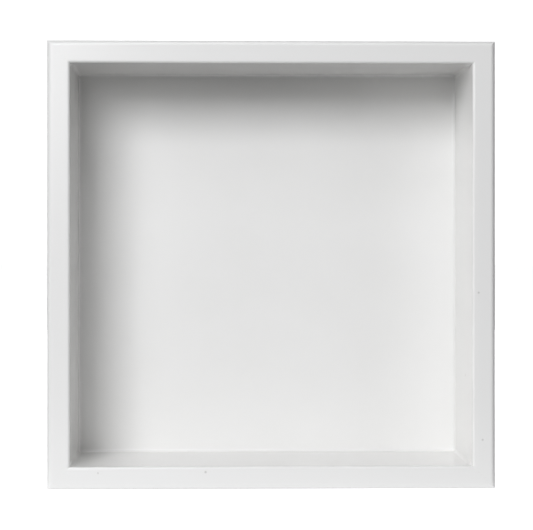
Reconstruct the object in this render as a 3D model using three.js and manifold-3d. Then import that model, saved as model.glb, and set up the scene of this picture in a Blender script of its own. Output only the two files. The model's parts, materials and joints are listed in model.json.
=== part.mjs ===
// An open-front square shadow box of lacquered boards, with hanging hardware on its rear edges.
//
// Four mitred side boards hold a back panel in a groove. A plywood spline crosses each mitre, a bead of
// filler rounds the inside corners, and two D-ring hangers and four bumpers sit on the rear edges.
// Millimetres. +X is to the viewer's right, the open front faces -Y and +Z is up. The origin is on the
// ground, in the middle of the box.

import * as THREE from 'three';
import { mergeVertices } from 'three/addons/utils/BufferGeometryUtils.js';
import { RoundedBoxGeometry } from 'three/addons/geometries/RoundedBoxGeometry.js';
import Module from 'manifold-3d';

const wasm = await Module();
wasm.setup();

// Driving dimensions.
const BOX_SIDE = 305;
const BOARD_DEPTH = 102;
const BOARD_THICKNESS = 15.5;
const DISPLAY_DEPTH = 86;
const PANEL_THICKNESS = 6;
const GROOVE_DEPTH = 5;
const STAND_OFF = 4;

// Rounding of the boards' edges and of the inside corners.
const OUTER_EDGE_RADIUS = 3.5;
const LIP_RADIUS = 1.8;
const REAR_ARRIS = 0.8;
const FILLET_RADIUS = 2.2;
const ARC_SEGMENTS = 6;

// Gaps between pieces that touch or hold each other.
const MITRE_GAP = 0.2;
const FIT_GAP = 0.3;
const SKIN_GAP = 0.1;

// Corner splines, set in stopped slots across the mitres.
const SPLINE_WIDTH = 12;
const SPLINE_THICKNESS = 3;
const SPLINE_LENGTH = 64;
const SPLINE_FROM_FRONT = 14;
const SPLINE_FROM_CORNER = 11;

// D-ring hangers. Distances down the strap are from the centre of the eye that holds the ring's bar.
const EYE_FROM_TOP = 60;
const STRAP_WIDTH = 9.6;
const STRAP_THICKNESS = 1.2;
const STRAP_LENGTH = 31;
const EYE_OUTER_RADIUS = 1.6;
const EYE_INNER_RADIUS = 1.05;
const FOLD_LENGTH = 4.5;
const SCREW_DROPS = [17, 26];
const WIRE_RADIUS = 0.9;
const WIRE_END_GAP = 0.6;
const RING_HALF_WIDTH = 6.2;
const RING_REACH = 12.5;
const RING_BEND_RADIUS = 1.8;
const RING_STEPS = 56;

// Pan-head wood screws of the hangers.
const SHANK_RADIUS = 1.45;
const SHANK_LENGTH = 15;
const POINT_LENGTH = 3;
const HEAD_RADIUS = 2.9;
const HEAD_HEIGHT = 1.7;

// Rubber bumpers.
const BUMPER_RADIUS = 5;
const BUMPER_FACE_RADIUS = 4;
const BUMPER_FROM_END = 12;
const ROUND_SEGMENTS = 24;

// Places that follow from the driving dimensions.
const HALF_SIDE = BOX_SIDE / 2;
const OPENING = BOX_SIDE - 2 * BOARD_THICKNESS;
const FRONT_Y = -(BOARD_DEPTH + STAND_OFF) / 2;
const REAR_EDGE_Y = FRONT_Y + BOARD_DEPTH;
const PANEL_FRONT_Y = FRONT_Y + DISPLAY_DEPTH;
const BOARD_CENTRE = HALF_SIDE - BOARD_THICKNESS / 2;
const EYE_Z = HALF_SIDE - EYE_FROM_TOP;
const SPLINE_Y = FRONT_Y + SPLINE_FROM_FRONT + SPLINE_LENGTH / 2;

const X_AXIS = new THREE.Vector3(1, 0, 0);
const Y_AXIS = new THREE.Vector3(0, 1, 0);
const Z_AXIS = new THREE.Vector3(0, 0, 1);

// Materials: each mesh gets its own copy.
const FINISHES = {
  lacquer: { color: 0xf3f2ef, roughness: 0.42, metalness: 0 },
  filler: { color: 0xf1f0ec, roughness: 0.5, metalness: 0 },
  plywood: { color: 0xcbab7c, roughness: 0.75, metalness: 0 },
  steel: { color: 0xb8bbbf, roughness: 0.32, metalness: 1 },
  rubber: { color: 0x3b3b3d, roughness: 0.85, metalness: 0 },
};

function namedMesh(name, geometry, finish) {
  const mesh = new THREE.Mesh(geometry, new THREE.MeshStandardMaterial(FINISHES[finish]));
  mesh.name = name;
  return mesh;
}

// Turns a closed geometry into a solid that can be joined and cut.
function toSolid(geometry) {
  const bare = geometry.clone();
  bare.deleteAttribute('normal');
  bare.deleteAttribute('uv');
  const merged = mergeVertices(bare);
  const mesh = new wasm.Mesh({
    numProp: 3,
    vertProperties: new Float32Array(merged.attributes.position.array),
    triVerts: new Uint32Array(merged.index.array),
  });
  return new wasm.Manifold(mesh);
}

function toGeometry(solid) {
  const mesh = solid.getMesh();
  const geometry = new THREE.BufferGeometry();
  geometry.setAttribute('position', new THREE.BufferAttribute(new Float32Array(mesh.vertProperties), 3));
  geometry.setIndex(new THREE.BufferAttribute(new Uint32Array(mesh.triVerts), 1));
  return geometry;
}

// An outline in the XZ plane, pushed along Y through all of the box.
function prismAlongY(outline) {
  const length = 2 * BOARD_DEPTH;
  const geometry = new THREE.ExtrudeGeometry(outline, {
    depth: length,
    bevelEnabled: false,
    curveSegments: ROUND_SEGMENTS / 2,
  });
  geometry.translate(0, 0, -length / 2);
  return geometry.rotateX(Math.PI / 2);
}

// A board's section. X runs from its outer face to its inner face, and Y is the depth of the box.
function boardSection() {
  const inner = BOARD_THICKNESS;
  const section = new THREE.Shape();
  section.moveTo(0, FRONT_Y + OUTER_EDGE_RADIUS);
  section.absarc(
    OUTER_EDGE_RADIUS, FRONT_Y + OUTER_EDGE_RADIUS, OUTER_EDGE_RADIUS, Math.PI, 1.5 * Math.PI, false,
  );
  section.lineTo(inner - LIP_RADIUS, FRONT_Y);
  section.absarc(inner - LIP_RADIUS, FRONT_Y + LIP_RADIUS, LIP_RADIUS, 1.5 * Math.PI, 2 * Math.PI, false);
  // The groove that holds the back panel.
  const grooveFront = PANEL_FRONT_Y - SKIN_GAP;
  const grooveRear = PANEL_FRONT_Y + PANEL_THICKNESS + SKIN_GAP;
  section.lineTo(inner, grooveFront);
  section.lineTo(inner - GROOVE_DEPTH, grooveFront);
  section.lineTo(inner - GROOVE_DEPTH, grooveRear);
  section.lineTo(inner, grooveRear);
  // The rear edge, with both corners eased.
  section.lineTo(inner, REAR_EDGE_Y - REAR_ARRIS);
  section.lineTo(inner - REAR_ARRIS, REAR_EDGE_Y);
  section.lineTo(REAR_ARRIS, REAR_EDGE_Y);
  section.lineTo(0, REAR_EDGE_Y - REAR_ARRIS);
  section.closePath();
  return section;
}

// A block as large as the spline plus a clearance on each side, where the spline crosses the mitre at one
// end of the bottom board. The other three corners follow by turning it about the box's centre.
function splineBlock(end, clearance) {
  const block = new THREE.BoxGeometry(
    SPLINE_WIDTH + 2 * clearance, SPLINE_LENGTH + 2 * clearance, SPLINE_THICKNESS + 2 * clearance,
  );
  block.rotateY((-end * Math.PI) / 4);
  const fromCorner = HALF_SIDE - SPLINE_FROM_CORNER * Math.SQRT1_2;
  return block.translate(end * fromCorner, SPLINE_Y, -fromCorner);
}

// A pilot hole for one hanger screw, bored from the rear edge at a distance along the board.
function pilotHole(along) {
  const depth = SHANK_LENGTH + FIT_GAP;
  const hole = new THREE.CylinderGeometry(
    SHANK_RADIUS + FIT_GAP, SHANK_RADIUS + FIT_GAP, 2 * depth, ROUND_SEGMENTS,
  );
  return hole.translate(along, REAR_EDGE_Y, -BOARD_CENTRE);
}

// The bottom board, about the centre of the box. hangerEnd is -1 or 1 for a board that carries a hanger
// towards that end, and 0 for one that carries none.
function boardGeometry(hangerEnd) {
  const length = BOX_SIDE + 2;
  const blank = new THREE.ExtrudeGeometry(boardSection(), {
    depth: length,
    bevelEnabled: false,
    curveSegments: ARC_SEGMENTS,
  });
  blank.translate(0, 0, -length / 2);
  blank.rotateY(-Math.PI / 2);
  blank.translate(0, 0, -HALF_SIDE);

  // The mitres: a trapezium whose slanting sides pass just inside the box's corners.
  const inset = (MITRE_GAP / 2) * Math.SQRT2;
  const past = 1;
  const halfOuter = HALF_SIDE + past - inset;
  const halfInner = HALF_SIDE - BOARD_THICKNESS - past - inset;
  const mitred = new THREE.Shape();
  mitred.moveTo(-halfOuter, -HALF_SIDE - past);
  mitred.lineTo(halfOuter, -HALF_SIDE - past);
  mitred.lineTo(halfInner, -HALF_SIDE + BOARD_THICKNESS + past);
  mitred.lineTo(-halfInner, -HALF_SIDE + BOARD_THICKNESS + past);
  mitred.closePath();

  let board = toSolid(blank).intersect(toSolid(prismAlongY(mitred)));
  for (const end of [-1, 1]) {
    board = board.subtract(toSolid(splineBlock(end, FIT_GAP)));
  }
  if (hangerEnd !== 0) {
    for (const drop of SCREW_DROPS) {
      board = board.subtract(toSolid(pilotHole(hangerEnd * (EYE_Z - drop))));
    }
  }
  return toGeometry(board);
}

function backPanelGeometry() {
  const side = OPENING + 2 * (GROOVE_DEPTH - FIT_GAP);
  const panel = new THREE.BoxGeometry(side, PANEL_THICKNESS, side);
  return panel.translate(0, PANEL_FRONT_Y + PANEL_THICKNESS / 2, 0);
}

// The bead of filler: what is left of the inside of the box outside a block with rounded edges. It starts
// where the lip's rounding ends. The block stands past the bead's flat faces, so that no skin is left.
function fillerBeadGeometry() {
  const side = OPENING - 2 * SKIN_GAP;
  const front = FRONT_Y + LIP_RADIUS;
  const rear = PANEL_FRONT_Y - SKIN_GAP;
  const past = 0.03;
  const body = new THREE.BoxGeometry(side, rear - front, side);
  body.translate(0, (front + rear) / 2, 0);

  const depth = rear + past - (front - 4 * FILLET_RADIUS);
  const space = new RoundedBoxGeometry(side + 2 * past, depth, side + 2 * past, 5, FILLET_RADIUS);
  space.translate(0, rear + past - depth / 2, 0);
  return toGeometry(toSolid(body).subtract(toSolid(space)));
}

// A hanger's strap, about the centre of its eye: sheet steel folded double round the ring's bar and down
// flat. Its section, with X away from the board, is pushed across the width and then cut to its outline.
function strapGeometry() {
  const boardSide = -EYE_OUTER_RADIUS;
  const outerSide = boardSide + STRAP_THICKNESS;
  const slopeAngle = Math.atan2(-FOLD_LENGTH, outerSide)
    + Math.acos(EYE_OUTER_RADIUS / Math.hypot(FOLD_LENGTH, outerSide));
  const section = new THREE.Shape();
  section.moveTo(boardSide, -STRAP_LENGTH);
  section.lineTo(boardSide, 0);
  section.absarc(0, 0, EYE_OUTER_RADIUS, Math.PI, slopeAngle, true);
  section.lineTo(outerSide, -FOLD_LENGTH);
  section.lineTo(outerSide, -STRAP_LENGTH);
  section.closePath();
  section.holes.push(new THREE.Path().absarc(0, 0, EYE_INNER_RADIUS, 0, 2 * Math.PI, false));
  const blank = new THREE.ExtrudeGeometry(section, {
    depth: STRAP_WIDTH,
    bevelEnabled: false,
    curveSegments: ROUND_SEGMENTS / 2,
  });
  blank.translate(0, 0, -STRAP_WIDTH / 2);
  blank.applyMatrix4(new THREE.Matrix4().makeBasis(Y_AXIS, Z_AXIS, X_AXIS));

  // Seen from behind: straight sides and a round lower end.
  const past = 1;
  const half = STRAP_WIDTH / 2;
  const outline = new THREE.Shape();
  outline.moveTo(half, EYE_OUTER_RADIUS + past);
  outline.lineTo(-half, EYE_OUTER_RADIUS + past);
  outline.lineTo(-half, half - STRAP_LENGTH);
  outline.absarc(0, half - STRAP_LENGTH, half, Math.PI, 2 * Math.PI, false);
  outline.closePath();

  let strap = toSolid(blank).intersect(toSolid(prismAlongY(outline)));
  for (const drop of SCREW_DROPS) {
    const hole = new THREE.CylinderGeometry(
      SHANK_RADIUS + FIT_GAP, SHANK_RADIUS + FIT_GAP, 4 * STRAP_THICKNESS, ROUND_SEGMENTS,
    );
    hole.translate(0, boardSide, -drop);
    strap = strap.subtract(toSolid(hole));
  }
  return toGeometry(strap);
}

// A D-ring of bent wire, hanging from its bar. The wire's two ends meet, a little apart, in the strap's eye.
function ringGeometry() {
  const straightBottom = -(RING_REACH - RING_HALF_WIDTH);
  const bend = RING_BEND_RADIUS;
  const bendX = RING_HALF_WIDTH - bend;
  const line = new THREE.Path();
  line.moveTo(WIRE_END_GAP / 2, 0);
  line.lineTo(bendX, 0);
  line.absarc(bendX, -bend, bend, Math.PI / 2, 0, true);
  line.lineTo(RING_HALF_WIDTH, straightBottom);
  line.absarc(0, straightBottom, RING_HALF_WIDTH, 0, -Math.PI, true);
  line.lineTo(-RING_HALF_WIDTH, -bend);
  line.absarc(-bendX, -bend, bend, Math.PI, Math.PI / 2, true);
  line.lineTo(-WIRE_END_GAP / 2, 0);
  const points = line.getSpacedPoints(RING_STEPS).map((point) => new THREE.Vector3(point.x, 0, point.y));
  const wire = new THREE.Shape().absarc(0, 0, WIRE_RADIUS, 0, 2 * Math.PI, false);
  return new THREE.ExtrudeGeometry(wire, {
    steps: RING_STEPS,
    curveSegments: 5,
    extrudePath: new THREE.CatmullRomCurve3(points),
  });
}

// The angle at which a hanging ring leans on its strap, out from straight down.
function ringRestAngle() {
  const lift = STRAP_THICKNESS + WIRE_RADIUS + SKIN_GAP - EYE_OUTER_RADIUS;
  return Math.asin(lift / RING_REACH);
}

// A pan-head screw along Y, with its head's underside at zero.
function screwGeometry() {
  const profile = [
    new THREE.Vector2(0, -SHANK_LENGTH),
    new THREE.Vector2(SHANK_RADIUS, POINT_LENGTH - SHANK_LENGTH),
    new THREE.Vector2(SHANK_RADIUS, 0),
    new THREE.Vector2(HEAD_RADIUS, 0),
    new THREE.Vector2(HEAD_RADIUS, 0.4 * HEAD_HEIGHT),
    new THREE.Vector2(0.85 * HEAD_RADIUS, 0.8 * HEAD_HEIGHT),
    new THREE.Vector2(0.5 * HEAD_RADIUS, HEAD_HEIGHT),
    new THREE.Vector2(0, HEAD_HEIGHT),
  ];
  return new THREE.LatheGeometry(profile, ROUND_SEGMENTS);
}

// A bumper along Y, with its glued side at zero.
function bumperGeometry() {
  const profile = [
    new THREE.Vector2(0, 0),
    new THREE.Vector2(BUMPER_RADIUS, 0),
    new THREE.Vector2(0.95 * BUMPER_RADIUS, 0.75 * STAND_OFF),
    new THREE.Vector2(BUMPER_FACE_RADIUS, STAND_OFF),
    new THREE.Vector2(0, STAND_OFF),
  ];
  return new THREE.LatheGeometry(profile, ROUND_SEGMENTS);
}

// One hanger, about the centre of its eye.
function hanger(side) {
  const assembly = new THREE.Group();
  assembly.add(namedMesh(`hanger_strap_${side}`, strapGeometry(), 'steel'));

  const ring = namedMesh(`hanger_ring_${side}`, ringGeometry(), 'steel');
  ring.rotation.x = ringRestAngle();
  assembly.add(ring);

  const places = ['upper', 'lower'];
  SCREW_DROPS.forEach((drop, index) => {
    const screw = namedMesh(`hanger_screw_${side}_${places[index]}`, screwGeometry(), 'steel');
    screw.position.set(0, STRAP_THICKNESS - EYE_OUTER_RADIUS + SKIN_GAP, -drop);
    assembly.add(screw);
  });
  return assembly;
}

// Everything below is placed about the centre of the box, which is half its height above the ground.
const box = new THREE.Group();
box.position.z = HALF_SIDE;

// Each quarter turn about Y takes the bottom board and its right-hand spline on to the next side and corner.
const quarters = [
  { side: 'bottom', corner: 'bottom_right', hangerEnd: 0 },
  { side: 'left', corner: 'bottom_left', hangerEnd: -1 },
  { side: 'top', corner: 'top_left', hangerEnd: 0 },
  { side: 'right', corner: 'top_right', hangerEnd: 1 },
];
quarters.forEach(({ side, corner, hangerEnd }, turns) => {
  const quarter = new THREE.Group();
  quarter.rotation.y = (turns * Math.PI) / 2;
  quarter.add(namedMesh(`board_${side}`, boardGeometry(hangerEnd), 'lacquer'));
  quarter.add(namedMesh(`corner_spline_${corner}`, splineBlock(1, 0), 'plywood'));
  box.add(quarter);
});

box.add(namedMesh('back_panel', backPanelGeometry(), 'lacquer'));
box.add(namedMesh('filler_bead', fillerBeadGeometry(), 'filler'));

for (const [side, sign] of [['left', -1], ['right', 1]]) {
  const placed = hanger(side);
  placed.position.set(sign * BOARD_CENTRE, REAR_EDGE_Y + EYE_OUTER_RADIUS, EYE_Z);
  box.add(placed);

  for (const [level, up] of [['lower', -1], ['upper', 1]]) {
    const bumper = namedMesh(`wall_bumper_${level}_${side}`, bumperGeometry(), 'rubber');
    bumper.position.set(sign * BOARD_CENTRE, REAR_EDGE_Y, up * (HALF_SIDE - BUMPER_FROM_END));
    box.add(bumper);
  }
}

const group = new THREE.Group();
group.add(box);

export default group;
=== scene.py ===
"""Looks of the open-front shadow box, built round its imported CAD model.

Metres, in the model's own frame: +X to the viewer's right, the open front faces -Y, +Z is up. Small
hardware is drawn in millimetres about its own centre and then placed.
"""

import json
import math

import bmesh
import bpy
from mathutils import Matrix, Vector


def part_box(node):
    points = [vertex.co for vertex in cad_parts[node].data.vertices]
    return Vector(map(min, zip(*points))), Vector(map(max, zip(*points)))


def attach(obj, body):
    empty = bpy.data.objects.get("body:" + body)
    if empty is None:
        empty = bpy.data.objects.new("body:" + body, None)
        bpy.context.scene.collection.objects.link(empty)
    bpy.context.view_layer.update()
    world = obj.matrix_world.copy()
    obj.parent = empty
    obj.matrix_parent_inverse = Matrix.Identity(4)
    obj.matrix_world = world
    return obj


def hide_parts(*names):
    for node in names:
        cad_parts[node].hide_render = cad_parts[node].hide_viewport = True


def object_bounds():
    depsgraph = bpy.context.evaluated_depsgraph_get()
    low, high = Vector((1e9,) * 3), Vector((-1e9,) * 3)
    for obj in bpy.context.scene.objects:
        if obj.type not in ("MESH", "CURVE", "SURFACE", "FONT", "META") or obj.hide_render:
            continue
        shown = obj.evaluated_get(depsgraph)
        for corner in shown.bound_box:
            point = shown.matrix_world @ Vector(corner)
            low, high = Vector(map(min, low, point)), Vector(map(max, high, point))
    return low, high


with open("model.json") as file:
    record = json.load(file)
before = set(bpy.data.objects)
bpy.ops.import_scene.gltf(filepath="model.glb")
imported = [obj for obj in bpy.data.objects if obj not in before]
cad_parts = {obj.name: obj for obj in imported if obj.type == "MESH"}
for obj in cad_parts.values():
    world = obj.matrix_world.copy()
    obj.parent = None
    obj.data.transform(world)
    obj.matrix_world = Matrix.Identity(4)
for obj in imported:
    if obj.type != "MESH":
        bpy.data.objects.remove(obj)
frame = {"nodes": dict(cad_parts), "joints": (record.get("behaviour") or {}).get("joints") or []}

cad_low, cad_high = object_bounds()

MM = 0.001

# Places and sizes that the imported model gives.
bottom_low, bottom_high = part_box("board_bottom")
panel_low, panel_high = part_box("back_panel")
HALF_SIDE = (cad_high.x - cad_low.x) / 2
CENTRE_Z = (cad_low.z + cad_high.z) / 2
BOARD_THICKNESS = bottom_high.z - bottom_low.z
FRONT_Y = bottom_low.y
REAR_EDGE_Y = bottom_high.y
PANEL_FRONT_Y = panel_low.y
PANEL_REAR_Y = panel_high.y
HALF_OPENING = HALF_SIDE - BOARD_THICKNESS
EYES = {joint["child"]: Vector(joint["pos_m"]) for joint in frame["joints"]}

# Rounding of the boards and of the inside corners.
OUTER_EDGE_RADIUS = 3.5 * MM
LIP_RADIUS = 1.8 * MM
REAR_ARRIS = 0.8 * MM
ROUNDING_STEPS = 12
GROOVE_CLEARANCE = 0.05 * MM
MITRE_HAIRLINE = 0.005 * MM
FILLET_RADIUS = 2.2 * MM
BEAD_FRONT_RADIUS = 0.5 * MM
BEAD_TAPER_LENGTH = 9 * MM
BEAD_TAPER_STEPS = 8
BEAD_FEATHER = 0.003 * MM
SHARP_ANGLE = math.radians(32)
SOFTENED_ANGLE = math.radians(40)

# Hardware, in millimetres. Heights are measured down from the eye that holds the ring's bar.
EYE_OUTER_RADIUS = 1.6
STRAP_WIDTH = 9.6
STRAP_THICKNESS = 1.2
STRAP_LENGTH = 31
SHEET_THICKNESS = 0.6
LAYER_GAP = 0.03
FOLD_LENGTH = 4.5
FOLD_RADIUS = 1.0
SCREW_DROPS = (17, 26)
SCREW_HOLE_RADIUS = 1.75
RING_HALF_WIDTH = 6.2
RING_REACH = 12.5
RING_BEND_RADIUS = 1.8
RING_LIFT = 0.66
WIRE_RADIUS = 0.9
WIRE_END_GAP = 0.6
WIRE_END_CHAMFER = 0.2
WIRE_SIDES = 20
SHANK_LENGTH = 15
SHANK_RADIUS = 1.45
CORE_RADIUS = 1.1
POINT_LENGTH = 3
THREAD_PITCH = 1.3
THREAD_TOP = -2
THREAD_STEPS = 8
THREAD_RIDGE_SHARE = 0.3
TIP_FLAT = 0.2
NECK_FLARE = 0.2
HEAD_RADIUS = 2.9
HEAD_HEIGHT = 1.7
HEAD_SIDE = 0.7
HEAD_EDGE_RADIUS = 0.2
DOME_FULLNESS = 0.7
SCREW_SIDES = 32
RECESS_HALF_WIDTH = 1.5
RECESS_FLOOR_SHARE = 0.3
RECESS_HALF_SLOT = 0.28
RECESS_DEPTH = 1.1
BUMPER_ROUNDING = 0.9
BUMPER_DRAFT = 0.25
BUMPER_FOOT_EASE = 0.15
BUMPER_SIDES = 48

# A bumper's moulding dimple, as (radius, depth below its end), and how far cutters reach past what they cut.
BUMPER_DIMPLE = ((0.9, 0), (0.7, 0.03), (0.45, 0.2), (0, 0.22))
CUTTER_REACH = 4
CUTTER_MARGIN = 0.1

# Colours of the white lacquer, and the pitch of the wire screen pressed into the panel's back.
LACQUER_WHITE = (0.852, 0.848, 0.836)
LACQUER_SHADED = (0.844, 0.84, 0.827)
NIB_GREY = (0.64, 0.632, 0.615)
SCREEN_PITCH = 1.4 * MM

# White light with a touch of blue. Near and far lights stand this far off, and most are this wide.
LIGHT_COLOUR = (0.979, 0.985, 1.0)
NEAR = 2.0
FAR = 4.0
SOFT_WIDTH = 1.1

# The backdrop is a little brighter than white, so that it clips. The floor lies just below the box, and the
# light that stands for a pale table lies just above the floor.
BACKDROP_STRENGTH = 1.2
FLOOR_HALF_SIDE = 12
FLOOR_Z = -0.2 * MM
TABLE_LIGHT_Z = 0.1 * MM

# The camera stands a little left of the box's middle and a little above it. Turn and tilt are in degrees.
CAMERA_PLACE = Vector((-0.0452, FRONT_Y - 1.1895, CENTRE_Z + 0.0151))
CAMERA_TURN_RIGHT = 1.347
CAMERA_TILT_UP = 0.091
CAMERA_LENS = 118.39
CAMERA_SENSOR_WIDTH = 36
CAMERA_SHIFT = (0.0376, -0.0472)


# ---------------------------------------------------------------- camera, light and stage


def make_camera():
    data = bpy.data.cameras.new("camera")
    data.sensor_width = CAMERA_SENSOR_WIDTH
    data.lens = CAMERA_LENS
    data.shift_x, data.shift_y = CAMERA_SHIFT
    camera = bpy.data.objects.new("camera", data)
    camera.location = CAMERA_PLACE
    camera.rotation_euler = (math.radians(90 + CAMERA_TILT_UP), 0, math.radians(-CAMERA_TURN_RIGHT))
    bpy.context.scene.collection.objects.link(camera)
    bpy.context.scene.camera = camera


def make_area_light(name, centre, towards, size, watts, mirrored=True):
    """A soft rectangular light that shines along a direction and isn't seen itself.

    Glossy surfaces reflect it only if it is mirrored.
    """
    data = bpy.data.lights.new(name, "AREA")
    data.shape = "RECTANGLE"
    data.size, data.size_y = size
    data.energy = watts
    data.color = LIGHT_COLOUR
    light = bpy.data.objects.new(name, data)
    light.location = centre
    light.rotation_euler = (-Vector(towards)).to_track_quat("Z", "Y").to_euler()
    light.visible_camera = False
    light.visible_glossy = mirrored
    bpy.context.scene.collection.objects.link(light)


def make_aimed_light(name, azimuth, elevation, distance, side, watts, mirrored=True):
    """A square light aimed at the middle of the rim. Azimuth is to the right of the front, in degrees."""
    turn, lift = math.radians(azimuth), math.radians(elevation)
    outwards = Vector((math.sin(turn) * math.cos(lift), -math.cos(turn) * math.cos(lift), math.sin(lift)))
    centre = Vector((0, FRONT_Y, CENTRE_Z)) + distance * outwards
    make_area_light(name, centre, -outwards, (side, side), watts, mirrored)


def make_lights():
    """A key from the upper left with a wider light round it, front, side and rear lights, and a pale table.

    The side fills and the lights behind the corners aren't mirrored in the lacquer. Their images would wash
    out the top face against the backdrop. The table's light is weak and wide, with a strip next to the box.
    """
    make_aimed_light("key", -22, 23, NEAR, 0.7, 18.8)
    make_aimed_light("key_surround", -22, 19, NEAR, SOFT_WIDTH, 11.8)
    make_aimed_light("front_top", 0, 45, FAR, SOFT_WIDTH, 15)
    make_aimed_light("overhead", 0, 82, FAR, SOFT_WIDTH, 8)
    make_aimed_light("left_fill", -75, 0, FAR, SOFT_WIDTH, 23.5, mirrored=False)
    make_aimed_light("right_fill", 45, 15, FAR, SOFT_WIDTH, 15.7, mirrored=False)
    make_aimed_light("rear", 180, 20, NEAR, 2.6, 24)
    make_aimed_light("left_rear", -135, 8, NEAR, SOFT_WIDTH, 12, mirrored=False)
    make_aimed_light("right_rear", 135, 8, NEAR, SOFT_WIDTH, 15, mirrored=False)
    for name, depth, watts in (("table_card", 0.4, 0.279), ("table_edge", 0.0055, 0.0031)):
        centre = (0, FRONT_Y + OUTER_EDGE_RADIUS - depth / 2, TABLE_LIGHT_Z)
        make_area_light(name, centre, (0, 0, 1), (3 * HALF_SIDE, depth), watts)


def make_world():
    """Even white behind everything, seen by the camera only, so it lights nothing."""
    world = bpy.data.worlds.new("studio")
    world.use_nodes = True
    nodes, links = world.node_tree.nodes, world.node_tree.links
    nodes.clear()
    output = nodes.new("ShaderNodeOutputWorld")
    mix = nodes.new("ShaderNodeMixShader")
    rays = nodes.new("ShaderNodeLightPath")
    seen, dark = nodes.new("ShaderNodeBackground"), nodes.new("ShaderNodeBackground")
    seen.inputs["Strength"].default_value = BACKDROP_STRENGTH
    dark.inputs["Strength"].default_value = 0
    links.new(rays.outputs["Is Camera Ray"], mix.inputs["Fac"])
    links.new(dark.outputs["Background"], mix.inputs[1])
    links.new(seen.outputs["Background"], mix.inputs[2])
    links.new(mix.outputs["Shader"], output.inputs["Surface"])
    for background in (seen, dark):
        background.inputs["Color"].default_value = (1, 1, 1, 1)
    bpy.context.scene.world = world


def make_floor(material):
    """A wide pale floor. It is as bright as the backdrop, and it neither lights the box nor shades it."""
    mesh = bpy.data.meshes.new("floor")
    half = FLOOR_HALF_SIDE
    corners = [(-half, -half), (half, -half), (half, half), (-half, half)]
    mesh.from_pydata([(x, y, FLOOR_Z) for x, y in corners], [], [(0, 1, 2, 3)])
    mesh.materials.append(material)
    floor = bpy.data.objects.new("floor", mesh)
    floor.visible_diffuse = False
    floor.visible_glossy = False
    floor.visible_shadow = False
    bpy.context.scene.collection.objects.link(floor)


# ---------------------------------------------------------------- mesh helpers


def arc(centre, radius, start, end, steps):
    """Points on an arc, from start to end degrees."""
    angles = [math.radians(start + (end - start) * i / steps) for i in range(steps + 1)]
    return [(centre[0] + radius * math.cos(a), centre[1] + radius * math.sin(a)) for a in angles]


def band(first, second, count):
    """The faces that join two rings of count points, given the index of each ring's first point."""
    return [(first + i, first + (i + 1) % count, second + (i + 1) % count, second + i) for i in range(count)]


def new_piece(name, vertices, faces, *materials):
    mesh = bpy.data.meshes.new(name)
    mesh.from_pydata(vertices, [], faces)
    for material in materials:
        mesh.materials.append(material)
    piece = bpy.data.objects.new(name, mesh)
    bpy.context.scene.collection.objects.link(piece)
    return piece


def join_points(mesh, distance):
    """Joins points that are closer than the distance, and turns all faces outwards."""
    work = bmesh.new()
    work.from_mesh(mesh)
    bmesh.ops.remove_doubles(work, verts=work.verts, dist=distance)
    bmesh.ops.recalc_face_normals(work, faces=work.faces)
    work.to_mesh(mesh)
    work.free()


def smooth(piece, angle=SHARP_ANGLE):
    """Smooth shading across gentle edges only, with flat faces kept flat."""
    piece.data.shade_smooth()
    piece.data.set_sharp_from_angle(angle=angle)
    weighted = piece.modifiers.new("flat_faces", "WEIGHTED_NORMAL")
    weighted.keep_sharp = True
    weighted.weight = 100
    apply_modifiers(piece)


def apply_modifiers(piece):
    """Gives the piece the mesh that its modifiers make, and removes them."""
    bpy.context.view_layer.update()
    made = bpy.data.meshes.new_from_object(piece.evaluated_get(bpy.context.evaluated_depsgraph_get()))
    piece.modifiers.clear()
    piece.data = made
    made.name = piece.name


def carve(piece, operation, *cutters):
    """Cuts the piece with the cutters, or keeps what it shares with them, and removes the cutters."""
    for cutter in cutters:
        modifier = piece.modifiers.new("carve", "BOOLEAN")
        modifier.operation = operation
        modifier.solver = "EXACT"
        modifier.object = cutter
    apply_modifiers(piece)
    for cutter in cutters:
        bpy.data.objects.remove(cutter)


def soften_edges(piece, width, segments=2):
    """Rounds every edge that turns by more than SOFTENED_ANGLE."""
    bevel = piece.modifiers.new("soft_edges", "BEVEL")
    bevel.width = width
    bevel.segments = segments
    bevel.limit_method = "ANGLE"
    bevel.angle_limit = SOFTENED_ANGLE
    apply_modifiers(piece)


def prism(name, outline, low, high, to_world):
    """An outline pushed from low to high along its normal. to_world takes (a, b, along) to a point."""
    count = len(outline)
    vertices = [to_world(a, b, along) for along in (low, high) for a, b in outline]
    faces = [tuple(range(count))[::-1], tuple(range(count, 2 * count))]
    faces += band(0, count, count)
    piece = new_piece(name, vertices, faces)
    join_points(piece.data, 1e-9)
    return piece


def revolved(name, profile, segments, *materials):
    """A closed solid of revolution about Y. The profile holds (radius, y) and starts and ends on the axis.

    A radius may be a function of the turn about the axis, as on a screw thread.
    """
    first, *ring_points, last = profile
    turns = [2 * math.pi * i / segments for i in range(segments)]
    vertices = [(0, first[1], 0)]
    for radius, y in ring_points:
        for turn in turns:
            here = radius(turn) if callable(radius) else radius
            vertices.append((here * math.cos(turn), y, here * math.sin(turn)))
    vertices.append((0, last[1], 0))
    faces = []
    last_ring = 1 + (len(ring_points) - 1) * segments
    for i in range(segments):
        j = (i + 1) % segments
        faces.append((0, 1 + i, 1 + j))
        for ring in range(len(ring_points) - 1):
            a, b = 1 + ring * segments, 1 + (ring + 1) * segments
            faces.append((a + i, b + i, b + j, a + j))
        faces.append((last_ring + i, len(vertices) - 1, last_ring + j))
    piece = new_piece(name, vertices, faces, *materials)
    join_points(piece.data, 1e-9)
    return piece


def copy_of_cad_node(node, material):
    """A closed copy of a CAD node's mesh, to cut with. The cut's walls take the material."""
    mesh = frame["nodes"][node].data.copy()
    mesh.materials.clear()
    mesh.materials.append(material)
    join_points(mesh, 0.001 * MM)
    cutter = bpy.data.objects.new("cutter", mesh)
    bpy.context.scene.collection.objects.link(cutter)
    return cutter


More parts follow.
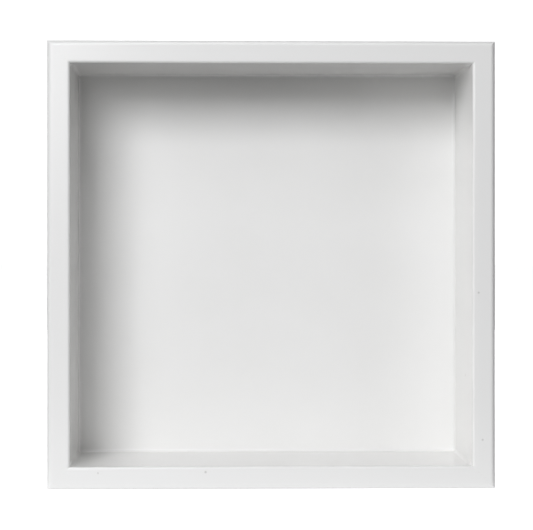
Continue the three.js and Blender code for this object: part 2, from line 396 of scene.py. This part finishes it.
def finish_piece(piece, material_slot, body, *nodes):
    """Hides the CAD nodes that the piece replaces, and parents the piece to the empty of the body that it
    moves with.
    """
    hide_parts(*nodes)
    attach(piece, body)
    return piece


# ---------------------------------------------------------------- materials


def new_material(name, colour, roughness, metallic=0.0):
    """A material with its shader's plain values set, and that shader."""
    material = bpy.data.materials.new(name)
    material.use_nodes = True
    shader = material.node_tree.nodes["Principled BSDF"]
    shader.inputs["Base Color"].default_value = (*colour, 1)
    shader.inputs["Roughness"].default_value = roughness
    shader.inputs["Metallic"].default_value = metallic
    return material, shader


class Graph:
    """Short names for the nodes that the materials share."""

    def __init__(self, material):
        self.nodes, self.links = material.node_tree.nodes, material.node_tree.links
        self.place = self.nodes.new("ShaderNodeTexCoord").outputs["Object"]

    def feed(self, node, **inputs):
        for name, value in inputs.items():
            socket = node.inputs[name]
            if isinstance(value, bpy.types.NodeSocket):
                self.links.new(value, socket)
            else:
                socket.default_value = value

    def noise(self, scale, detail=2.0, roughness=0.5, vector=None):
        node = self.nodes.new("ShaderNodeTexNoise")
        self.feed(node, Vector=vector or self.place, Scale=scale, Detail=detail, Roughness=roughness)
        return node.outputs["Fac"]

    def stretched(self, x, y, z):
        node = self.nodes.new("ShaderNodeMapping")
        self.feed(node, Vector=self.place, Scale=(x, y, z))
        return node.outputs["Vector"]

    def cells(self, scale):
        node = self.nodes.new("ShaderNodeTexVoronoi")
        self.feed(node, Vector=self.place, Scale=scale)
        return node.outputs["Distance"]

    def weave(self, pitch):
        """Crossed sine ridges, one pitch apart, as a pressed wire screen leaves them.

        A wave texture repeats every pi / (10 * scale).
        """
        heights = []
        for direction in ("X", "Z"):
            wave = self.nodes.new("ShaderNodeTexWave")
            wave.bands_direction = direction
            self.feed(wave, Vector=self.place, Scale=math.pi / (10 * pitch))
            heights.append(wave.outputs["Fac"])
        node = self.nodes.new("ShaderNodeMath")
        node.operation = "MAXIMUM"
        for socket, height in zip(node.inputs, heights):
            self.links.new(height, socket)
        return node.outputs["Value"]

    def remap(self, value, from_low, from_high, to_low, to_high):
        node = self.nodes.new("ShaderNodeMapRange")
        node.interpolation_type = "SMOOTHSTEP"
        self.feed(node, Value=value)
        for socket, number in zip(list(node.inputs)[1:5], (from_low, from_high, to_low, to_high)):
            socket.default_value = number
        return node.outputs["Result"]

    def mix(self, factor, first, second):
        node = self.nodes.new("ShaderNodeMix")
        node.data_type = "RGBA"
        colours = [s for s in node.inputs if s.type == "RGBA"]
        self.links.new(factor, node.inputs["Factor"])
        for socket, value in zip(colours, (first, second)):
            if isinstance(value, bpy.types.NodeSocket):
                self.links.new(value, socket)
            else:
                socket.default_value = (*value, 1)
        return next(s for s in node.outputs if s.type == "RGBA")

    def bump(self, height, distance, strength=1.0, below=None):
        node = self.nodes.new("ShaderNodeBump")
        self.feed(node, Height=height, Distance=distance, Strength=strength)
        if below is not None:
            self.feed(node, Normal=below)
        return node.outputs["Normal"]


def lacquer_material(name):
    """Sprayed semi-gloss white: faint orange peel, a few dust nibs under the coat and an uneven sheen."""
    material, shader = new_material(name, LACQUER_WHITE, 0.18)
    graph = Graph(material)
    nib = graph.remap(graph.cells(45), 0.025, 0.055, 1, 0)
    tone = graph.mix(graph.remap(graph.noise(9, 3), 0.35, 0.65, 0, 1), LACQUER_WHITE, LACQUER_SHADED)
    colour = graph.mix(nib, tone, NIB_GREY)
    peel = graph.bump(graph.noise(650, 1), 0.004 * MM)
    waves = graph.bump(graph.noise(25, 1), 0.012 * MM, below=peel)
    graph.feed(
        shader,
        **{
            "Base Color": colour,
            "Roughness": graph.remap(graph.noise(14, 1), 0.2, 0.8, 0.17, 0.2),
            "Normal": graph.bump(nib, 0.03 * MM, below=waves),
        },
    )
    return material


def filler_material():
    """Filler smoothed by hand along the corners and sprayed with the rest: a little wavier and duller."""
    material, shader = new_material("white_filler", LACQUER_WHITE, 0.24)
    graph = Graph(material)
    tone = graph.mix(graph.remap(graph.noise(25, 3), 0.35, 0.65, 0, 1), LACQUER_WHITE, LACQUER_SHADED)
    strokes = graph.bump(graph.noise(60, 1), 0.015 * MM)
    graph.feed(
        shader,
        **{
            "Base Color": tone,
            "Roughness": graph.remap(graph.noise(30, 1), 0.2, 0.8, 0.21, 0.25),
            "Normal": graph.bump(graph.noise(650, 1), 0.005 * MM, below=strokes),
        },
    )
    return material


def bare_board_material():
    """Brown hardboard: pressed fibres, with the weave of the press's wire screen on its back."""
    light, dark = (0.31, 0.195, 0.112), (0.225, 0.133, 0.073)
    material, shader = new_material("bare_hardboard", light, 0.82)
    graph = Graph(material)
    fibres = graph.noise(480, 6, 0.65, graph.stretched(1, 1, 0.6))
    clouds = graph.noise(22, 3, 0.5)
    flecks = graph.noise(900, 3, 0.6, graph.stretched(0.5, 1, 1.6))
    tone = graph.mix(graph.remap(fibres, 0.35, 0.68, 0, 1), light, dark)
    tone = graph.mix(graph.remap(clouds, 0.35, 0.65, 0, 0.4), tone, dark)
    colour = graph.mix(graph.remap(flecks, 0.62, 0.75, 0, 0.5), tone, (0.42, 0.29, 0.18))
    screen = graph.bump(graph.weave(SCREEN_PITCH), 0.12 * MM)
    graph.feed(
        shader,
        **{
            "Base Color": colour,
            "Roughness": graph.remap(fibres, 0.3, 0.7, 0.74, 0.9),
            "Normal": graph.bump(fibres, 0.1 * MM, below=screen),
        },
    )
    return material


def plywood_material():
    """Birch plywood seen on its edges and faces: thin plies, with grain along the piece."""
    pale, brown = (0.62, 0.44, 0.26), (0.4, 0.25, 0.13)
    material, shader = new_material("birch_plywood", pale, 0.7)
    graph = Graph(material)
    grain = graph.noise(400, 4, 0.6, graph.stretched(1, 0.08, 1))
    plies = graph.noise(900, 1, 0.5, graph.stretched(1, 0.02, 1))
    tone = graph.mix(graph.remap(grain, 0.35, 0.65, 0, 1), pale, brown)
    graph.feed(
        shader,
        **{
            "Base Color": graph.mix(graph.remap(plies, 0.5, 0.6, 0, 0.5), tone, brown),
            "Roughness": graph.remap(grain, 0.3, 0.7, 0.6, 0.8),
            "Normal": graph.bump(grain, 0.08 * MM),
        },
    )
    return material


def zinc_material():
    """Bright zinc plate on steel: blotchy crystals, drawn scratches and a dulled sheen."""
    bright, dull = (0.66, 0.67, 0.69), (0.58, 0.59, 0.62)
    material, shader = new_material("zinc_plate", bright, 0.4, metallic=1.0)
    graph = Graph(material)
    blotches = graph.noise(600, 3)
    scratches = graph.noise(2500, 2, 0.6, graph.stretched(1, 1, 0.06))
    graph.feed(
        shader,
        **{
            "Base Color": graph.mix(graph.remap(blotches, 0.35, 0.65, 0, 1), bright, dull),
            "Roughness": graph.remap(graph.noise(1500, 3), 0.3, 0.7, 0.36, 0.48),
            "Normal": graph.bump(scratches, 0.002 * MM),
        },
    )
    return material


def rubber_material():
    """Matt moulded rubber with fine pores and a little pale dust."""
    black, dusty = (0.03, 0.03, 0.032), (0.075, 0.073, 0.07)
    material, shader = new_material("moulded_rubber", black, 0.8)
    graph = Graph(material)
    graph.feed(
        shader,
        **{
            "Base Color": graph.mix(graph.remap(graph.noise(700, 4), 0.45, 0.75, 0, 1), black, dusty),
            "Roughness": graph.remap(graph.noise(1200, 3), 0.3, 0.7, 0.7, 0.9),
            "Normal": graph.bump(graph.noise(5000, 2), 0.02 * MM),
        },
    )
    return material


def floor_material():
    """Pale and evenly bright."""
    material, shader = new_material("floor", (0.9, 0.9, 0.9), 0.9)
    shader.inputs["Emission Color"].default_value = (1, 1, 1, 1)
    shader.inputs["Emission Strength"].default_value = 1.0
    return material


# ---------------------------------------------------------------- boards, panel and bead


def board_section():
    """A board's outline as (depth below its outer face, y), with its groove for the back panel."""
    inner = BOARD_THICKNESS
    groove_depth = inner - (HALF_SIDE - panel_high.x) + 2 * GROOVE_CLEARANCE
    groove_front = PANEL_FRONT_Y - GROOVE_CLEARANCE
    groove_rear = PANEL_REAR_Y + GROOVE_CLEARANCE
    outer_centre = (OUTER_EDGE_RADIUS, FRONT_Y + OUTER_EDGE_RADIUS)
    lip_centre = (inner - LIP_RADIUS, FRONT_Y + LIP_RADIUS)
    outline = arc(outer_centre, OUTER_EDGE_RADIUS, 180, 270, ROUNDING_STEPS)
    outline += arc(lip_centre, LIP_RADIUS, 270, 360, ROUNDING_STEPS)
    outline += [(inner, groove_front), (inner - groove_depth, groove_front)]
    outline += [(inner - groove_depth, groove_rear), (inner, groove_rear)]
    outline += arc((inner - REAR_ARRIS, REAR_EDGE_Y - REAR_ARRIS), REAR_ARRIS, 0, 90, 4)
    outline += arc((REAR_ARRIS, REAR_EDGE_Y - REAR_ARRIS), REAR_ARRIS, 90, 180, 4)
    return outline


def make_board(side, quarter_turns, hidden_nodes, lacquer, bare_board):
    """One mitred board. It is drawn as the bottom one about the box's centre, then turned into place."""
    section = board_section()
    count = len(section)
    place = Matrix.Translation((0, 0, CENTRE_Z)) @ Matrix.Rotation(quarter_turns * math.pi / 2, 4, "Y")
    vertices = []
    for end in (-1, 1):
        for depth, y in section:
            along = end * (HALF_SIDE - depth - MITRE_HAIRLINE)
            vertices.append(place @ Vector((along, y, depth - HALF_SIDE)))
    faces = [tuple(range(count)), tuple(range(count, 2 * count))]
    faces += band(0, count, count)
    board = new_piece(f"side_board_{side}", vertices, faces, lacquer, bare_board)
    board.data.polygons[0].material_index = 1
    board.data.polygons[1].material_index = 1
    join_points(board.data, 1e-9)
    carve(board, "DIFFERENCE", *[copy_of_cad_node(node, bare_board) for node in hidden_nodes])
    smooth(board)
    return finish_piece(board, "white_lacquer", "box", f"board_{side}")


def make_boards(lacquer, bare_board):
    corners = ["bottom_right", "bottom_left", "top_left", "top_right"]
    for turns, side in enumerate(["bottom", "left", "top", "right"]):
        hidden = [f"corner_spline_{corners[turns]}", f"corner_spline_{corners[(turns + 1) % 4]}"]
        if side in ("left", "right"):
            hidden += [f"hanger_screw_{side}_{level}" for level in ("upper", "lower")]
        make_board(side, turns, hidden, lacquer, bare_board)


def make_back_panel(lacquer, bare_board):
    """The panel, with eased edges: lacquered in front, bare board on its edges and behind."""
    corners = [(panel_low.x, panel_low.z), (panel_high.x, panel_low.z)]
    corners += [(panel_high.x, panel_high.z), (panel_low.x, panel_high.z)]
    panel = prism("white_back_panel", corners, PANEL_FRONT_Y, PANEL_REAR_Y, lambda a, b, along: (a, along, b))
    soften_edges(panel, 0.4 * MM, 3)
    panel.data.materials.append(lacquer)
    panel.data.materials.append(bare_board)
    for face in panel.data.polygons:
        face.material_index = 0 if face.normal.y < -0.5 else 1
    smooth(panel)
    return finish_piece(panel, "white_back", "box", "back_panel")


def rounded_square(half, radius, steps):
    """The corners of a square with rounded corners, as (x, z) about its centre."""
    outline = []
    for turn in range(4):
        quarter = arc((half - radius, half - radius), radius, 0, 90, steps)
        for x, z in quarter:
            c, s = [(1, 0), (0, 1), (-1, 0), (0, -1)][turn]
            outline.append((c * x - s * z, s * x + c * z))
    return outline


def make_filler_bead(material):
    """The filler along the inside corners: a block that fills the box, less the space inside it.

    The space is drawn as sections from front to rear, and starts 1 mm ahead of the bead to cut it cleanly.
    Its corners are nearly sharp at the lip, reach the full radius a little way in, and it rounds into the
    panel at the rear.
    """
    front, rear = FRONT_Y + LIP_RADIUS, PANEL_FRONT_Y
    half = HALF_OPENING + BEAD_FEATHER
    sections = [(front - 1 * MM, half, BEAD_FRONT_RADIUS)]
    for step in range(BEAD_TAPER_STEPS + 1):
        share = step / BEAD_TAPER_STEPS
        eased = share * share * (3 - 2 * share)
        radius = BEAD_FRONT_RADIUS + (FILLET_RADIUS - BEAD_FRONT_RADIUS) * eased
        sections.append((front + share * BEAD_TAPER_LENGTH, half, radius))
    turn_y = rear + BEAD_FEATHER - FILLET_RADIUS
    for rearwards, outwards in arc((0, 0), FILLET_RADIUS, 90, 4, ROUNDING_STEPS):
        sections.append((turn_y + rearwards, half - FILLET_RADIUS + outwards, outwards))
    outlines = []
    for y, half_width, radius in sections:
        outlines.append([(x, y, z + CENTRE_Z) for x, z in rounded_square(half_width, radius, ROUNDING_STEPS)])
    count = len(outlines[0])
    faces = [tuple(range(count)), tuple(range((len(outlines) - 1) * count, len(outlines) * count))]
    for ring in range(len(outlines) - 1):
        faces += band(ring * count, (ring + 1) * count, count)
    space = new_piece("cutter", [point for outline in outlines for point in outline], faces)
    join_points(space.data, 1e-8)

    h = HALF_OPENING
    square = [(-h, CENTRE_Z - h), (h, CENTRE_Z - h), (h, CENTRE_Z + h), (-h, CENTRE_Z + h)]
    bead = prism("inside_corner_filler", square, front, rear, lambda a, b, along: (a, along, b))
    bead.data.materials.append(material)
    carve(bead, "DIFFERENCE", space)
    smooth(bead)
    return finish_piece(bead, "white_filler", "box", "filler_bead")


# ---------------------------------------------------------------- hangers and bumpers


def rounded_corner(before, corner, after, radius, steps):
    """Points of the arc that rounds one corner of an outline."""
    before, corner, after = Vector(before), Vector(corner), Vector(after)
    first, second = (before - corner).normalized(), (after - corner).normalized()
    half_angle = first.angle(second) / 2
    centre = corner + (first + second).normalized() * (radius / math.sin(half_angle))
    start = corner + first * (radius / math.tan(half_angle)) - centre
    end = corner + second * (radius / math.tan(half_angle)) - centre
    turn = start.angle_signed(end)
    return [tuple(centre + Matrix.Rotation(-turn * i / steps, 2) @ start) for i in range(steps + 1)]


def strap_outline():
    """The strap's sheet seen from its side, as (away from the board, up) about the eye, in millimetres.

    The sheet runs up against the board, round the ring's bar and down again as a second layer.
    """
    outer, inner = EYE_OUTER_RADIUS, EYE_OUTER_RADIUS - SHEET_THICKNESS
    board_side, face = -outer, STRAP_THICKNESS - outer
    middle = board_side + SHEET_THICKNESS
    slope = math.atan2(-FOLD_LENGTH, face) + math.acos(outer / math.hypot(FOLD_LENGTH, face))
    out = Vector((math.cos(slope), math.sin(slope)))
    down = Vector((out.y, -out.x))
    inner_face = middle + LAYER_GAP
    inner_fold = out * inner + down * ((inner_face - out.x * inner) / down.x)
    bottom = -STRAP_LENGTH

    outline = [(board_side, bottom)]
    outline += arc((0, 0), outer, 180, math.degrees(slope), 28)
    outline += rounded_corner(out * outer, (face, -FOLD_LENGTH), (face, bottom), FOLD_RADIUS, 6)
    outline += [(face, bottom), (inner_face, bottom)]
    outline += rounded_corner((inner_face, bottom), inner_fold, out * inner, FOLD_RADIUS + SHEET_THICKNESS, 6)
    outline += arc((0, 0), inner, math.degrees(slope), 180, 28)
    outline += [(middle, bottom)]
    return outline


def make_strap(side, eye, steel):
    """A hanger's strap: folded sheet, drawn too wide and cut to a round-ended outline with screw holes."""
    half = STRAP_WIDTH / 2

    def across(a, b, along):
        return eye + MM * Vector((along, a, b))

    def from_behind(a, b, along):
        return eye + MM * Vector((a, along, b))

    strap = prism(f"ring_hanger_strap_{side}", strap_outline(), -half - 1, half + 1, across)
    strap.data.materials.append(steel)
    outline = arc((0, half - STRAP_LENGTH), half, 180, 360, 32) + [(half, 3), (-half, 3)]
    carve(strap, "INTERSECT", prism("cutter", outline, -CUTTER_REACH, CUTTER_REACH, from_behind))
    holes = []
    for drop in SCREW_DROPS:
        circle = arc((0, -drop), SCREW_HOLE_RADIUS, 0, 360, 40)[:-1]
        holes.append(prism("cutter", circle, -CUTTER_REACH, CUTTER_REACH, from_behind))
    carve(strap, "DIFFERENCE", *holes)
    soften_edges(strap, 0.07 * MM)
    smooth(strap)
    return finish_piece(strap, "zinc_steel", "box", f"hanger_strap_{side}")


def ring_line():
    """The middle of the ring's wire, hanging from its bar, as (across, up) in millimetres about the eye."""
    half, bend = RING_HALF_WIDTH, RING_BEND_RADIUS
    low = RING_HALF_WIDTH - RING_REACH
    points = [(WIRE_END_GAP / 2, 0), (1.5, 0), (3, 0)]
    points += arc((half - bend, -bend), bend, 90, 0, 12)
    points += [(half, (low - bend) / 2)]
    points += arc((0, low), half, 0, -180, 40)
    points += [(-half, (low - bend) / 2)]
    points += arc((bend - half, -bend), bend, 180, 90, 12)
    points += [(-3, 0), (-1.5, 0), (-WIRE_END_GAP / 2, 0)]
    return [Vector(point) for point in points]


def make_ring(side, eye, steel):
    """A D-ring of bent wire, leaning out a little where it rests on its strap."""
    line = ring_line()
    lean = Matrix.Rotation(math.asin(RING_LIFT / RING_REACH), 3, "X")
    sections = []
    for index, point in enumerate(line):
        before, after = line[max(index - 1, 0)], line[min(index + 1, len(line) - 1)]
        forward = (after - before).normalized()
        sections.append((point, Vector((forward.y, -forward.x)), WIRE_RADIUS))
    first, last = sections[0], sections[-1]
    chamfer = WIRE_END_CHAMFER
    sections.insert(1, (first[0] + Vector((chamfer, 0)), first[1], WIRE_RADIUS))
    sections[0] = (first[0], first[1], WIRE_RADIUS - chamfer)
    sections.insert(-1, (last[0] - Vector((chamfer, 0)), last[1], WIRE_RADIUS))
    sections[-1] = (last[0], last[1], WIRE_RADIUS - chamfer)

    vertices = []
    for point, sideways, radius in sections:
        for i in range(WIRE_SIDES):
            turn = 2 * math.pi * i / WIRE_SIDES
            away, up = radius * math.cos(turn), radius * math.sin(turn)
            local = Vector((point.x + sideways.x * away, up, point.y + sideways.y * away))
            vertices.append(eye + MM * (lean @ local))
    faces = [tuple(range(WIRE_SIDES)), tuple(range(len(vertices) - WIRE_SIDES, len(vertices)))]
    for ring in range(len(sections) - 1):
        faces += band(ring * WIRE_SIDES, (ring + 1) * WIRE_SIDES, WIRE_SIDES)
    piece = new_piece(f"d_ring_{side}", vertices, faces, steel)
    join_points(piece.data, 1e-9)
    smooth(piece)
    return finish_piece(piece, "zinc_steel", f"ring_{side}", f"hanger_ring_{side}")


def thread_radius(y):
    """The threaded shank's radius round its axis, at y millimetres from the head's underside."""
    point_share = min(1.0, (y + SHANK_LENGTH) / POINT_LENGTH)
    fade = min(1.0, max(0.0, (THREAD_TOP - y) / THREAD_PITCH))
    height = (SHANK_RADIUS - CORE_RADIUS) * point_share * fade

    def radius(turn):
        phase = (y / THREAD_PITCH - turn / (2 * math.pi)) % 1
        ridge = max(0.0, 1 - abs(phase - 0.5) / THREAD_RIDGE_SHARE)
        return MM * (CORE_RADIUS * point_share + height * ridge)

    return radius


def screw_profile(underside):
    """A pan-head wood screw from its point to the middle of its head, as (radius, y)."""
    tip, step = -SHANK_LENGTH + TIP_FLAT, THREAD_PITCH / THREAD_STEPS
    heights = [tip + step * i for i in range(int(-tip / step) + 1)]
    profile = [(0, underside - SHANK_LENGTH * MM)]
    profile += [(thread_radius(y), underside + y * MM) for y in heights]
    edge = HEAD_EDGE_RADIUS
    head = [(CORE_RADIUS + NECK_FLARE, 0)]
    head += arc((HEAD_RADIUS - edge, edge), edge, 270, 360, 4)
    dome = HEAD_HEIGHT - HEAD_SIDE
    for angle in range(0, 90, 8):
        a = math.radians(angle)
        head.append((HEAD_RADIUS * math.cos(a) ** DOME_FULLNESS, HEAD_SIDE + dome * math.sin(a)))
    profile += [(radius * MM, underside + y * MM) for radius, y in head]
    profile.append((0, underside + HEAD_HEIGHT * MM))
    return profile


def make_screw(side, level, drop, eye, steel):
    """A wood screw with a cross recess, standing in the strap's hole."""
    node = f"hanger_screw_{side}_{level}"
    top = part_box(node)[1].y
    underside = top - HEAD_HEIGHT * MM
    screw = revolved(f"pan_head_screw_{side}_{level}", screw_profile(underside), SCREW_SIDES, steel)
    axis = Vector((eye.x, 0, eye.z - drop * MM))
    screw.data.transform(Matrix.Translation(axis))
    wide, half_slot = RECESS_HALF_WIDTH, RECESS_HALF_SLOT
    narrow = RECESS_FLOOR_SHARE * wide
    slot = [(-wide, CUTTER_MARGIN), (-narrow, -RECESS_DEPTH), (narrow, -RECESS_DEPTH), (wide, CUTTER_MARGIN)]
    centre = axis + Vector((0, top, 0))

    def across(a, b, along):
        return centre + MM * Vector((a, b, along))

    def upright(a, b, along):
        return centre + MM * Vector((along, b, a))

    cutters = [prism("cutter", slot, -half_slot, half_slot, turned) for turned in (across, upright)]
    carve(screw, "DIFFERENCE", *cutters)
    smooth(screw)
    return finish_piece(screw, "zinc_steel", "box", node)


def make_bumper(node, rubber):
    """A stick-on rubber bumper with a rounded edge, a slight draft and a small moulding dimple."""
    low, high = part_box(node)
    radius, height = (high.x - low.x) / 2 / MM, (high.y - low.y) / MM
    shoulder = (radius - BUMPER_DRAFT - BUMPER_ROUNDING, height - BUMPER_ROUNDING)
    profile = [(0, 0), (radius - BUMPER_FOOT_EASE, 0), (radius, BUMPER_FOOT_EASE)]
    profile += arc(shoulder, BUMPER_ROUNDING, 8, 90, 10)
    profile += [(dimple_radius, height - depth) for dimple_radius, depth in BUMPER_DIMPLE]
    placed = [(r * MM, low.y + y * MM) for r, y in profile]
    bumper = revolved(node.replace("wall_bumper", "rubber_bumper"), placed, BUMPER_SIDES, rubber)
    bumper.data.transform(Matrix.Translation(((low.x + high.x) / 2, 0, (low.z + high.z) / 2)))
    smooth(bumper)
    return finish_piece(bumper, "dark_rubber", "box", node)


def finish_splines(plywood):
    """The splines keep their CAD shape and are seen only with a corner open."""
    for name, node in frame["nodes"].items():
        if name.startswith("corner_spline"):
            node.data.materials.clear()
            node.data.materials.append(plywood)


def make_hardware(steel, rubber):
    for side in ("left", "right"):
        eye = EYES[f"ring_{side}"]
        make_strap(side, eye, steel)
        make_ring(side, eye, steel)
        for level, drop in zip(("upper", "lower"), SCREW_DROPS):
            make_screw(side, level, drop, eye, steel)
        for level in ("lower", "upper"):
            make_bumper(f"wall_bumper_{level}_{side}", rubber)


# ---------------------------------------------------------------- the scene

bpy.context.scene.view_settings.view_transform = "Standard"
make_camera()
make_lights()
make_world()
make_floor(floor_material())

lacquer = lacquer_material("white_lacquer")
bare_board = bare_board_material()
steel = zinc_material()
make_boards(lacquer, bare_board)
make_back_panel(lacquer, bare_board)
make_filler_bead(filler_material())
make_hardware(steel, rubber_material())
finish_splines(plywood_material())
